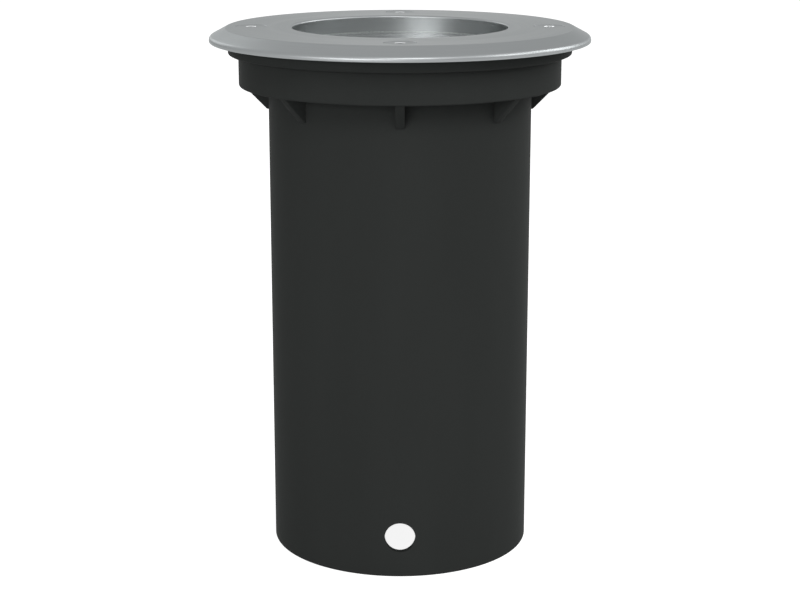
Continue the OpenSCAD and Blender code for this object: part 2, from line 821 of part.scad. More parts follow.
// Hand-chosen routes of the inner leads, from the terminal block to where each one ends
lead_front_y = lead_start_y - lead_in - 1.5;
live_route = [
    [pole_x(0), lead_start_y, wire_top], [pole_x(0), lead_front_y, wire_top],
    [pole_x(0) + 2, 2, wire_top + 1], [-3, -4, wire_top + 4],
    [0, -pin_y, stem_foot - 2], [0, -pin_y, stem_foot - 1], [0, -pin_y, stem_foot - push_gap]
];
neutral_route = [
    [pole_x(1), lead_start_y, wire_top], [pole_x(1), lead_front_y, wire_top],
    [0, pin_y + 3, wire_top + 2], [0, pin_y, stem_foot - 3],
    [0, pin_y, stem_foot - 1], [0, pin_y, stem_foot - push_gap]
];
earth_route = [
    [pole_x(2), lead_start_y, wire_top], [pole_x(2), lead_front_y, wire_top],
    [pole_x(2) + 3, 7, wire_top + 1], [earth_head_x - lead_r - 1.5, lug_r + 4, lug_z - 1],
    [earth_head_x - lead_r, lug_r + 1, lug_z]
];

module live_lead() {
    color("#6b3a22") swept_tube(spline(live_route, 4), lead_r, [1, 0, 0]);
}

module neutral_lead() {
    color("#2d5fa8") swept_tube(spline(neutral_route, 4), lead_r, [1, 0, 0]);
}

module earth_lead() {
    color("#7aa32c") swept_tube(spline(earth_route, 4), lead_r, [0, 0, 1]);
}

// Ring lug that joins the earth lead to the bracket's leg
module earth_lug() {
    color("#b4b4ae") translate([earth_head_x, 0, lug_z]) rotate([0, 90, 0]) difference() {
        union() {
            cylinder(r = lug_r, h = lug_t);
            translate([-lead_r, 0, 0]) cube([lead_d, lug_r + 2.5, lug_t]);
        }
        translate([0, 0, -eps]) cylinder(r = small_r + push_gap, h = lug_t + 2 * eps);
    }
}

module earth_screw() {
    color(steel) translate([earth_head_x, 0, lug_z]) rotate([0, -90, 0])
        pan_screw(lug_t + strip_t + 2);
}

// Cable gland

module gland_body() {
    color("#2b2d2c") difference() {
        union() {
            translate([0, 0, hex_foot]) hexagon_bar(gland_af, gland_hex_t);
            translate([0, 0, thread_foot]) cylinder(r = gland_r, h = stud_top - thread_foot);
        }
        translate([0, 0, thread_foot - eps])
            cylinder(r = cable_r + 0.5, h = stud_top - thread_foot + 2 * eps);
        translate([0, 0, thread_foot - eps])
            cylinder(r = gland_seal_r, h = gland_thread_l + eps);
    }
}

module gland_washer() {
    color("#202020") translate([0, 0, washer_foot])
        pipe(washer_d / 2, gland_r + push_gap, washer_t);
}

module gland_locknut() {
    color("#3a3c3b") translate([0, 0, floor_top]) difference() {
        hexagon_bar(locknut_af, locknut_t);
        translate([0, 0, -eps]) cylinder(r = gland_r + thread_gap, h = locknut_t + 2 * eps);
    }
}

module gland_seal() {
    color("#1d1d1d") translate([0, 0, thread_foot])
        pipe(gland_seal_r, cable_r, gland_thread_l);
}

// Dome nut: a hexagon below the body's hexagon, then a round nose that presses the seal
module gland_nut() {
    color("#2b2d2c") difference() {
        union() {
            translate([0, 0, nut_foot + nut_dome]) hexagon_bar(gland_af, nut_top - nut_foot - nut_dome);
            translate([0, 0, nut_foot])
                cylinder(r1 = gland_af / 2 - nut_dome, r2 = gland_af / 2, h = nut_dome);
        }
        translate([0, 0, nut_seat]) cylinder(r = gland_r + thread_gap, h = nut_top - nut_seat + eps);
        translate([0, 0, nut_foot - eps]) cylinder(r = cable_r + 0.5, h = nut_seat - nut_foot + 2 * eps);
    }
}

sleeve_barrel();
sleeve_collar();
sleeve_ribs();
lamp_housing();
thread_inserts();
flange_seal();
face_ring();
cover_glass();
glass_gasket();
reflector();
face_screw(0);  // face_screw_front
face_screw(1);  // face_screw_right
face_screw(2);  // face_screw_back
face_screw(3);  // face_screw_left
lamp_heat_sink();
lamp_base();
lamp_pins();
lamp_lens();
light_board();
light_chips();
driver_board();
lampholder();
lampholder_contacts();
lampholder_screws();
holder_bracket();
bracket_screws();
terminal_block();
terminal_tubes();
terminal_screws();
terminal_fixing_screws();
live_lead();
neutral_lead();
earth_lead();
earth_lug();
earth_screw();
gland_body();
gland_washer();
gland_locknut();
gland_seal();
gland_nut();
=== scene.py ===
"""Looks of a round in-ground uplighter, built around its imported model: steel face, glass, lamp and sleeve."""

import json
import math

import bmesh
import bpy
from mathutils import Matrix, Vector


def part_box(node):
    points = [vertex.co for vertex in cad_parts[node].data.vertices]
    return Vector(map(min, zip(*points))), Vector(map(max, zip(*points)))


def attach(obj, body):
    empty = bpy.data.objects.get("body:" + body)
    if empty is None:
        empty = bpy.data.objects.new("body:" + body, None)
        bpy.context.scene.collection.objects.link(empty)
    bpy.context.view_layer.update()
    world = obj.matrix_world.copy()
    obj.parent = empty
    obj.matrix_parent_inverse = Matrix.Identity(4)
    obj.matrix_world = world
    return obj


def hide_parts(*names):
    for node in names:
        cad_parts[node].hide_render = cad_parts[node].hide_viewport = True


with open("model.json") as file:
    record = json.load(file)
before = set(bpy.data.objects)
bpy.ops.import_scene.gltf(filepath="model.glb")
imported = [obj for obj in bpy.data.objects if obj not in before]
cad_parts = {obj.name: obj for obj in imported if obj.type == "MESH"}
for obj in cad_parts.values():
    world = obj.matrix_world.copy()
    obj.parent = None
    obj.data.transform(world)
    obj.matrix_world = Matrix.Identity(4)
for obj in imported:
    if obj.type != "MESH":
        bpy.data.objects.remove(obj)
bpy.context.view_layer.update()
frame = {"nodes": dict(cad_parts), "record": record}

MM = 0.001
TAU = 2 * math.pi


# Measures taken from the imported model

def foot(node):
    """Height of the node's lowest point."""
    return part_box(node)[0].z


def top(node):
    """Height of the node's highest point."""
    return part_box(node)[1].z


def inner_and_outer_radius(node):
    """Least and greatest distance of the node's points from the light's axis."""
    distances = [math.hypot(v.co.x, v.co.y) for v in frame["nodes"][node].data.vertices]
    return min(distances), max(distances)


ring_bore_r, ring_r = inner_and_outer_radius("face_ring")
ring_top = top("face_ring")
spigot_foot = foot("face_ring")
housing_top = top("lamp_housing")
collar_top = top("sleeve_collar")
ribs_foot = foot("sleeve_ribs")
barrel_bore_r, barrel_r = inner_and_outer_radius("sleeve_barrel")
collar_r = inner_and_outer_radius("sleeve_collar")[1]
glass_r = inner_and_outer_radius("cover_glass")[1]
seal_bore_r, seal_r = inner_and_outer_radius("flange_seal")
gasket_bore_r, gasket_r = inner_and_outer_radius("glass_gasket")
gasket_foot = foot("glass_gasket")
flange_r = inner_and_outer_radius("lamp_housing")[1]
pot_foot = foot("lamp_housing")
floor_top = foot("gland_locknut")
pot_bore_r = gasket_bore_r
spigot_r = gasket_bore_r

# Sizes of the sleeve that its box doesn't give
collar_h = 9.2 * MM
shelf_t = 2 * MM
collar_wall = 1.6 * MM
rib_count = 8
rib_t = 2.6 * MM
rib_reach = 45.6 * MM
cable_hole_r = 4.4 * MM
cable_hole_z = 12 * MM

# Sizes of the lamp housing that its box doesn't give
pot_r = 35 * MM
seat_r = gasket_r + 0.3 * MM
seat_wall = 2.2 * MM
seat_t = 2.2 * MM
skirt_r = 44.6 * MM
skirt_wall = 1.8 * MM
skirt_h = 5 * MM
insert_r = 2.7 * MM
chip_ring_r = 11.2 * MM
insert_l = 3 * MM
gland_hole_r = 8.2 * MM
gland_r = 8 * MM
small_hole_r = 1.5 * MM
block_hole_r = 1.2 * MM
small_hole_depth = 3 * MM
relief_w = 0.8 * MM
relief_h = 0.3 * MM

# Sizes of the face ring that its box doesn't give
bevel_w = 4.8 * MM
bevel_angle = math.radians(28)
edge_round = 1.2 * MM
lip_round = 0.5 * MM
screw_ring_r = 43 * MM
screw_hole_r = 2.2 * MM
screw_head_r = 4.4 * MM
screw_edge = 0.3 * MM
screw_sink = 0.1 * MM


# Routes of the leads inside, in millimetres, from the terminal block to where each one ends
BLOCK_FRONT = 13.7
WIRE_TOP = 64.2
IN_BLOCK = BLOCK_FRONT + 3
LEAVES_BLOCK = BLOCK_FRONT - 1.5
LEAD_ROUTES = {
    "live_lead": [(-8, IN_BLOCK, WIRE_TOP), (-8, LEAVES_BLOCK, WIRE_TOP), (-6, 2, 65.2), (-3, -4, 68.2),
                  (0, -5, 71.7), (0, -5, 72.7), (0, -5, 73.6)],
    "neutral_lead": [(0, IN_BLOCK, WIRE_TOP), (0, LEAVES_BLOCK, WIRE_TOP), (0, 8, 66.2), (0, 5, 70.7),
                     (0, 5, 72.7), (0, 5, 73.6)],
    "earth_lead": [(8, IN_BLOCK, WIRE_TOP), (8, LEAVES_BLOCK, WIRE_TOP), (11, 7, 65.2), (15.2, 7, 66.7),
                   (16.7, 4, 67.7)],
}


# Shapes

ARC_STEP = math.radians(18)
GUARD = 0.12 * MM
WELD = 1e-6
SHARP = math.radians(32)
THREAD_SIDES = 48
ROWS_PER_TURN = 8.0


def rounded(corners):
    """The closed outline of (radius, height, rounding) corners, with an arc where there is a rounding.
    A guard point just outside each arc keeps the flats beside it flat under smooth shading."""
    outline = []
    for i, (x, z, rounding) in enumerate(corners):
        here = Vector((x, z))
        before = Vector(corners[i - 1][:2]) - here
        after = Vector(corners[(i + 1) % len(corners)][:2]) - here
        if not rounding:
            outline.append(here)
            continue
        a, b = before.normalized(), after.normalized()
        half = a.angle(b) / 2
        reach = rounding / math.tan(half)
        centre = here + (a + b).normalized() * rounding / math.sin(half)
        start, end = here + a * reach, here + b * reach
        steps = max(2, round((math.pi - 2 * half) / ARC_STEP))
        spokes = start - centre, end - centre
        turn = math.pi - 2 * half
        outline.append(start + a * min(GUARD, (before.length - reach) / 3))
        for k in range(steps + 1):
            t = k / steps
            outline.append(centre + (math.sin((1 - t) * turn) * spokes[0]
                                     + math.sin(t * turn) * spokes[1]) / math.sin(turn))
        outline.append(end + b * min(GUARD, (after.length - reach) / 3))
    return outline


def new_tree(name, **inputs):
    """A Geometry Nodes tree with a geometry input and output and the named inputs, and its end nodes."""
    tree = bpy.data.node_groups.new(name, "GeometryNodeTree")
    tree.interface.new_socket("Geometry", in_out="INPUT", socket_type="NodeSocketGeometry")
    tree.interface.new_socket("Geometry", in_out="OUTPUT", socket_type="NodeSocketGeometry")
    for label, kind in inputs.items():
        tree.interface.new_socket(label, in_out="INPUT", socket_type="NodeSocket" + kind)
    tree.interface.new_socket("Finish", in_out="INPUT", socket_type="NodeSocketMaterial")
    return tree, tree.nodes.new("NodeGroupInput").outputs, tree.nodes.new("NodeGroupOutput")


def add(tree, kind, inputs=None, **settings):
    """Adds a node with its settings, and sets or links its inputs, which are named or numbered."""
    node = tree.nodes.new(kind)
    for name, value in settings.items():
        setattr(node, name, value)
    for key, value in (inputs or {}).items():
        if isinstance(value, bpy.types.NodeSocket):
            tree.links.new(value, node.inputs[key])
        else:
            node.inputs[key].default_value = value
    return node


def end_tree(tree, ends, geometry, given):
    """Closes a tree: the instances are made real and the finish is set."""
    real = add(tree, "GeometryNodeRealizeInstances", {0: geometry})
    done = add(tree, "GeometryNodeSetMaterial", {"Geometry": real.outputs[0], "Material": given["Finish"]})
    tree.links.new(done.outputs[0], ends.inputs[0])
    return tree


def turning_tree():
    """Revolves the profile it is given about the Z axis: X runs out from the path, and Y downwards."""
    tree, given, ends = new_tree("turning", Segments="Int", **{"Path Radius": "Float"})
    profile = add(tree, "GeometryNodeMeshToCurve", {0: given["Geometry"]})
    path = add(tree, "GeometryNodeCurvePrimitiveCircle",
               {"Resolution": given["Segments"], "Radius": given["Path Radius"]})
    swept = add(tree, "GeometryNodeCurveToMesh", {0: path.outputs[0], 1: profile.outputs[0]})
    closed = add(tree, "GeometryNodeMergeByDistance", {"Geometry": swept.outputs[0], "Distance": WELD / 2})
    return end_tree(tree, ends, closed.outputs[0], given)


def around_tree():
    """Sets copies of the geometry it is given evenly around the Z axis."""
    tree, given, ends = new_tree("around_the_axis", Count="Int")
    points = add(tree, "GeometryNodePoints", {"Count": given["Count"]})
    index = add(tree, "GeometryNodeInputIndex")
    share = add(tree, "ShaderNodeMath", {0: index.outputs[0], 1: given["Count"]}, operation="DIVIDE")
    angle = add(tree, "ShaderNodeMath", {0: share.outputs[0], 1: TAU}, operation="MULTIPLY")
    turn = add(tree, "ShaderNodeCombineXYZ", {"Z": angle.outputs[0]})
    copies = add(tree, "GeometryNodeInstanceOnPoints",
                 {"Points": points.outputs[0], "Instance": given["Geometry"], "Rotation": turn.outputs[0]})
    return end_tree(tree, ends, copies.outputs[0], given)


def thread_tree():
    """A threaded rod along Z: a cylinder whose wall dips by Depth in a helix of the given Pitch."""
    tree, given, ends = new_tree("thread", Length="Float", Radius="Float", Depth="Float", Pitch="Float")
    turns_in_all = add(tree, "ShaderNodeMath", {0: given["Length"], 1: given["Pitch"]}, operation="DIVIDE")
    rows = add(tree, "ShaderNodeMath", {0: turns_in_all.outputs[0], 1: ROWS_PER_TURN}, operation="MULTIPLY")
    rod = add(tree, "GeometryNodeMeshCylinder",
              {"Vertices": THREAD_SIDES, "Side Segments": rows.outputs[0],
               "Radius": given["Radius"], "Depth": given["Length"]})
    position = add(tree, "GeometryNodeInputPosition").outputs[0]
    place = add(tree, "ShaderNodeSeparateXYZ", {0: position})
    bearing = add(tree, "ShaderNodeMath", {0: place.outputs["Y"], 1: place.outputs["X"]}, operation="ARCTAN2")
    turns = add(tree, "ShaderNodeMath", {0: bearing.outputs[0], 1: TAU}, operation="DIVIDE")
    rise = add(tree, "ShaderNodeMath", {0: place.outputs["Z"], 1: given["Pitch"]}, operation="DIVIDE")
    phase = add(tree, "ShaderNodeMath", {0: rise.outputs[0], 1: turns.outputs[0]}, operation="SUBTRACT")
    groove = add(tree, "ShaderNodeMath", {0: phase.outputs[0], 1: 0.5}, operation="PINGPONG")
    share = add(tree, "ShaderNodeMath", {0: given["Depth"], 1: given["Radius"]}, operation="DIVIDE")
    dip = add(tree, "ShaderNodeMath", {0: groove.outputs[0], 1: share.outputs[0]}, operation="MULTIPLY")
    keep = add(tree, "ShaderNodeMath", {0: dip.outputs[0], 1: -2.0, 2: 1.0}, operation="MULTIPLY_ADD")
    flat = add(tree, "ShaderNodeCombineXYZ", {"X": keep.outputs[0], "Y": keep.outputs[0], "Z": 1.0})
    moved = add(tree, "ShaderNodeVectorMath", {0: position, 1: flat.outputs[0]}, operation="MULTIPLY")
    cut = add(tree, "GeometryNodeSetPosition",
              {"Geometry": rod.outputs["Mesh"], "Position": moved.outputs[0]})
    return end_tree(tree, ends, cut.outputs[0], given)


def grown(name, tree, finish, base=None, **values):
    """The plain mesh that a tree makes from the base mesh, as an object at the origin."""
    piece = bpy.data.objects.new(name, base or bpy.data.meshes.new(name))
    bpy.context.scene.collection.objects.link(piece)
    modifier = piece.modifiers.new(tree.name, "NODES")
    modifier.node_group = tree
    sockets = {i.name: i.identifier for i in tree.interface.items_tree if i.in_out == "INPUT"}
    for label, value in {**values, "Finish": finish}.items():
        modifier[sockets[label.replace("_", " ")]] = value
    return baked(piece)


def baked(piece):
    """Turns the piece and its modifiers into a plain mesh, and removes the modifiers."""
    now = piece.evaluated_get(bpy.context.evaluated_depsgraph_get())
    mesh = bpy.data.meshes.new_from_object(now)
    piece.modifiers.clear()
    piece.data = mesh
    mesh.name = piece.name
    return piece


def turned(name, outline, finish, segments=180):
    """A round piece: its closed outline of (radius, height) points turned about the axis, faces outwards."""
    path_r = max(p[0] for p in outline)
    on_axis = [i for i, p in enumerate(outline) if p[0] < 1e-7]
    points = [(p[0] - path_r, -p[1], 0) for p in outline]
    edges = [(i, (i + 1) % len(points)) for i in range(len(points))]
    if len(on_axis) == 2:
        edges = [e for e in edges if set(e) != set(on_axis)]
    profile = bpy.data.meshes.new(name)
    profile.from_pydata(points, edges, [])
    piece = grown(name, TURNING, finish, profile, Segments=segments, Path_Radius=path_r)
    return settled(piece)


def settled(piece, sharp=SHARP):
    """Closes a sliver that a cut left open, points the faces outwards, and shades smooth below sharp."""
    shape = bmesh.new()
    shape.from_mesh(piece.data)
    bmesh.ops.holes_fill(shape, edges=[e for e in shape.edges if e.is_boundary], sides=4)
    bmesh.ops.recalc_face_normals(shape, faces=shape.faces)
    if shape.calc_volume(signed=True) < 0:
        bmesh.ops.reverse_faces(shape, faces=shape.faces)
    shape.to_mesh(piece.data)
    shape.free()
    piece.data.shade_smooth()
    piece.data.set_sharp_from_angle(angle=sharp)
    return piece


def carved(piece, tool, operation="DIFFERENCE"):
    """Cuts the tool out of the piece, or joins it on, and removes the tool."""
    modifier = piece.modifiers.new("carve", "BOOLEAN")
    modifier.operation = operation
    modifier.solver = "EXACT"
    modifier.material_mode = "TRANSFER"
    modifier.object = tool
    baked(piece)
    bpy.data.objects.remove(tool)
    return piece


def placed(piece, matrix):
    """Moves the piece's mesh and leaves its object at the origin."""
    piece.data.transform(matrix)
    return piece


def prism(name, outline, thickness, finish, edge):
    """A plate with its outline in X and Z and its thickness along Y, centred, with rounded edges."""
    shape = bmesh.new()
    face = shape.faces.new([shape.verts.new((x, -thickness / 2, z)) for x, z in outline])
    side = bmesh.ops.extrude_face_region(shape, geom=[face])["geom"]
    side = [v for v in side if isinstance(v, bmesh.types.BMVert)]
    bmesh.ops.translate(shape, vec=(0, thickness, 0), verts=side)
    bmesh.ops.recalc_face_normals(shape, faces=shape.faces)
    bmesh.ops.bevel(shape, geom=list(shape.edges), offset=edge, segments=3, profile=0.5, affect="EDGES")
    mesh = bpy.data.meshes.new(name)
    shape.to_mesh(mesh)
    shape.free()
    mesh.materials.append(finish)
    piece = bpy.data.objects.new(name, mesh)
    bpy.context.scene.collection.objects.link(piece)
    return piece


def softened(node, name, finish, edge):
    """A copy of a CAD node with its corners broken, as a machined or moulded edge is."""
    piece = bpy.data.objects.new(name, frame["nodes"][node].data.copy())
    bpy.context.scene.collection.objects.link(piece)
    shape = bmesh.new()
    shape.from_mesh(piece.data)
    bmesh.ops.remove_doubles(shape, verts=shape.verts, dist=WELD)
    flat = math.radians(0.4)
    bmesh.ops.dissolve_limit(shape, angle_limit=flat, verts=shape.verts, edges=shape.edges)
    shape.to_mesh(piece.data)
    shape.free()
    eased(piece, edge)
    piece.data.materials.clear()
    piece.data.materials.append(finish)
    return piece


def eased(piece, edge):
    """Breaks the piece's corners with a small rounded bevel."""
    bevel = piece.modifiers.new("edges", "BEVEL")
    bevel.width = edge
    bevel.segments = 2
    bevel.limit_method = "ANGLE"
    bevel.angle_limit = math.radians(40)
    bevel.harden_normals = True
    piece.data.shade_smooth()
    piece.data.set_sharp_from_angle(angle=SHARP)
    return baked(piece)


TURNING = turning_tree()
AROUND = around_tree()
THREAD = thread_tree()


# Finishes

def linear(code):
    """Linear colour of an sRGB hex code."""
    parts = [int(code[i:i + 2], 16) / 255 for i in (1, 3, 5)]
    return (*[c / 12.92 if c <= 0.04045 else ((c + 0.055) / 1.055) ** 2.4 for c in parts], 1.0)


def new_finish(name, **surface):
    """A material with one Principled surface, its even values, and its Object coordinates."""
    finish = bpy.data.materials.new(name)
    finish.use_nodes = True
    tree = finish.node_tree
    tree.nodes.clear()
    shader = add(tree, "ShaderNodeBsdfPrincipled", {k.replace("_", " "): v for k, v in surface.items()})
    add(tree, "ShaderNodeOutputMaterial", {"Surface": shader.outputs[0]})
    return finish, tree, shader, add(tree, "ShaderNodeTexCoord").outputs["Object"]


def spots(tree, coords, size, detail=2.0):
    """Noise whose blotches are about the given size in metres."""
    noise = add(tree, "ShaderNodeTexNoise", {"Vector": coords, "Scale": 1 / size, "Detail": detail})
    return noise.outputs[0]


def between(tree, share, low, high):
    """A number that follows share, 0 to 1, from low to high."""
    return add(tree, "ShaderNodeMapRange", {"Value": share, "To Min": low, "To Max": high}).outputs[0]


def blend(tree, share, first, second):
    """A colour that follows share from the first colour to the second."""
    node = add(tree, "ShaderNodeMix", data_type="RGBA")
    colour_inputs = [s for s in node.inputs if s.type == "RGBA"]
    for socket, colour in zip(colour_inputs, (first, second)):
        if isinstance(colour, bpy.types.NodeSocket):
            tree.links.new(colour, socket)
        else:
            socket.default_value = colour
    tree.links.new(share, node.inputs["Factor"])
    return [s for s in node.outputs if s.type == "RGBA"][0]


def relief(tree, shader, height, depth):
    """Lifts the surface by height, 0 to 1, times depth in metres."""
    bump = add(tree, "ShaderNodeBump", {"Height": height, "Distance": depth})
    tree.links.new(bump.outputs[0], shader.inputs["Normal"])


def moulded_plastic(name, dark, light, roughness, grain):
    """Spark-eroded mould skin: even charcoal, matt to almost no gloss, with a fine grain and faint flow
    marks along the barrel. The real grain is about 0.2 mm; it is drawn coarser so that it shows."""
    finish, tree, shader, coords = new_finish(name, IOR=1.5, Specular_IOR_Level=0.012)
    stretched = add(tree, "ShaderNodeMapping", {"Vector": coords, "Scale": (1, 1, 0.25)}).outputs[0]
    flow = spots(tree, stretched, 18 * MM)
    skin = spots(tree, coords, grain, detail=4.0)
    tree.links.new(blend(tree, flow, linear(dark), linear(light)), shader.inputs["Base Color"])
    worn = add(tree, "ShaderNodeMath", {0: flow, 1: 0.3, 2: skin}, operation="MULTIPLY_ADD").outputs[0]
    tree.links.new(between(tree, worn, roughness - 0.06, roughness + 0.08), shader.inputs["Roughness"])
    relief(tree, shader, skin, 0.02 * MM)
    return finish


def polar(tree, coords):
    """Distance from the light's axis, and the unit vector away from it, for marks that run round."""
    flat = add(tree, "ShaderNodeVectorMath", {0: coords, 1: (1, 1, 0)}, operation="MULTIPLY").outputs[0]
    distance = add(tree, "ShaderNodeVectorMath", {0: flat}, operation="LENGTH").outputs["Value"]
    direction = add(tree, "ShaderNodeVectorMath", {0: flat}, operation="NORMALIZE").outputs[0]
    return distance, direction


MARKED_R = 50 * MM


def brush_marks(tree, coords, width, length, detail=3.0):
    """Noise drawn out round the axis: marks of the given width, and of the given length at MARKED_R."""
    distance, direction = polar(tree, coords)
    height = add(tree, "ShaderNodeSeparateXYZ", {0: coords}).outputs["Z"]
    across = add(tree, "ShaderNodeMath", {0: distance, 1: height}, operation="ADD").outputs[0]
    row = add(tree, "ShaderNodeMath", {0: across, 1: 1 / width}, operation="MULTIPLY").outputs[0]
    return add(tree, "ShaderNodeTexNoise",
               {"Vector": direction, "W": row, "Scale": MARKED_R / length, "Detail": detail},
               noise_dimensions="4D").outputs[0]


def brushed_steel(name, shade, roughness, mark_w, tint):
    """Stainless steel brushed on a turntable: a soft grey with fine streaks that run round the ring.
    Real brush marks are about 0.1 mm wide; they are drawn wider so that they show."""
    finish, tree, shader, coords = new_finish(name, Metallic=1.0, Anisotropic=0.5)
    marks = brush_marks(tree, coords, mark_w, 40 * MM)
    broad = brush_marks(tree, coords, 6 * mark_w, 90 * MM, detail=1.0)
    mixed = add(tree, "ShaderNodeMath", {0: marks, 1: broad}, operation="MULTIPLY").outputs[0]
    low, high = (linear(c) for c in shade)
    tree.links.new(blend(tree, marks, low, high), shader.inputs["Base Color"])
    shader.inputs["Specular Tint"].default_value = linear(tint)
    tree.links.new(between(tree, mixed, roughness - 0.08, roughness + 0.16), shader.inputs["Roughness"])
    round_axis = add(tree, "ShaderNodeTangent", direction_type="RADIAL", axis="Z")
    tree.links.new(round_axis.outputs[0], shader.inputs["Tangent"])
    relief(tree, shader, marks, 0.004 * MM)
    return finish


def turned_steel(name, shade, roughness, tint):
    """Stainless screw steel: smooth, with faint lathe rings round the nearest of the four face screws.
    The rings are drawn wider than the real feed of the lathe so that they show."""
    finish, tree, shader, coords = new_finish(name, Metallic=1.0)
    shader.inputs["Specular Tint"].default_value = linear(tint)
    away = add(tree, "ShaderNodeVectorMath", {0: coords}, operation="ABSOLUTE").outputs[0]
    away = add(tree, "ShaderNodeSeparateXYZ", {0: away}).outputs
    beside = add(tree, "ShaderNodeMath", {0: away["X"], 1: away["Y"]}, operation="MINIMUM").outputs[0]
    along = add(tree, "ShaderNodeMath", {0: away["X"], 1: away["Y"]}, operation="MAXIMUM").outputs[0]
    along = add(tree, "ShaderNodeMath", {0: along, 1: screw_ring_r}, operation="SUBTRACT").outputs[0]
    centred = add(tree, "ShaderNodeCombineXYZ", {"X": along, "Y": beside, "Z": away["Z"]}).outputs[0]
    rings = brush_marks(tree, centred, 0.25 * MM, 60 * MM)
    tree.links.new(blend(tree, rings, linear(shade[0]), linear(shade[1])), shader.inputs["Base Color"])
    tree.links.new(between(tree, rings, roughness - 0.05, roughness + 0.1), shader.inputs["Roughness"])
    relief(tree, shader, rings, 0.002 * MM)
    return finish


def float_glass(name):
    """Toughened soda-lime glass: clear, polished, faintly green, with a touch of dust haze."""
    finish, tree, shader, coords = new_finish(name, IOR=1.5, Transmission_Weight=1.0)
    shader.inputs["Base Color"].default_value = linear("#f4faf7")
    haze = spots(tree, coords, 9 * MM, detail=4.0)
    tree.links.new(between(tree, haze, 0.0, 0.01), shader.inputs["Roughness"])
    return finish


def rubber(name, dark, light):
    """Matt silicone rubber, with a soft sheen and fine mottling."""
    finish, tree, shader, coords = new_finish(name, IOR=1.41, Roughness=0.7, Sheen_Weight=0.15)
    mottle = spots(tree, coords, 0.8 * MM, detail=3.0)
    tree.links.new(blend(tree, mottle, linear(dark), linear(light)), shader.inputs["Base Color"])
    relief(tree, shader, mottle, 0.01 * MM)
    return finish


def spun_metal(name, shade, roughness):
    """Spun and polished aluminium: bright, with hair-fine rings left by the roller."""
    finish, tree, shader, coords = new_finish(name, Metallic=1.0)
    rings = brush_marks(tree, coords, 0.4 * MM, 120 * MM)
    tree.links.new(blend(tree, rings, linear(shade[0]), linear(shade[1])), shader.inputs["Base Color"])
    tree.links.new(between(tree, rings, roughness, roughness + 0.04), shader.inputs["Roughness"])
    return finish


def plain_metal(name, shade, roughness, patch):
    """Plated, stamped or burnished metal, and bare strands: soft reflections with cloudy patches."""
    finish, tree, shader, coords = new_finish(name, Metallic=1.0)
    cloud = spots(tree, coords, patch, detail=5.0)
    tree.links.new(blend(tree, cloud, linear(shade[0]), linear(shade[1])), shader.inputs["Base Color"])
    tree.links.new(between(tree, cloud, roughness - 0.06, roughness + 0.12), shader.inputs["Roughness"])
    relief(tree, shader, cloud, 0.003 * MM)
    return finish


def coated(name, shade, roughness, grain, depth, level=0.5):
    """Powder coat, ceramic or light moulded plastic: one pale colour with the grain of its skin."""
    finish, tree, shader, coords = new_finish(name, IOR=1.5, Specular_IOR_Level=level)
    skin = spots(tree, coords, grain, detail=3.0)
    broad = spots(tree, coords, 14 * grain)
    tree.links.new(blend(tree, broad, linear(shade[0]), linear(shade[1])), shader.inputs["Base Color"])
    tree.links.new(between(tree, skin, roughness - 0.05, roughness + 0.08), shader.inputs["Roughness"])
    relief(tree, shader, skin, depth)
    return finish


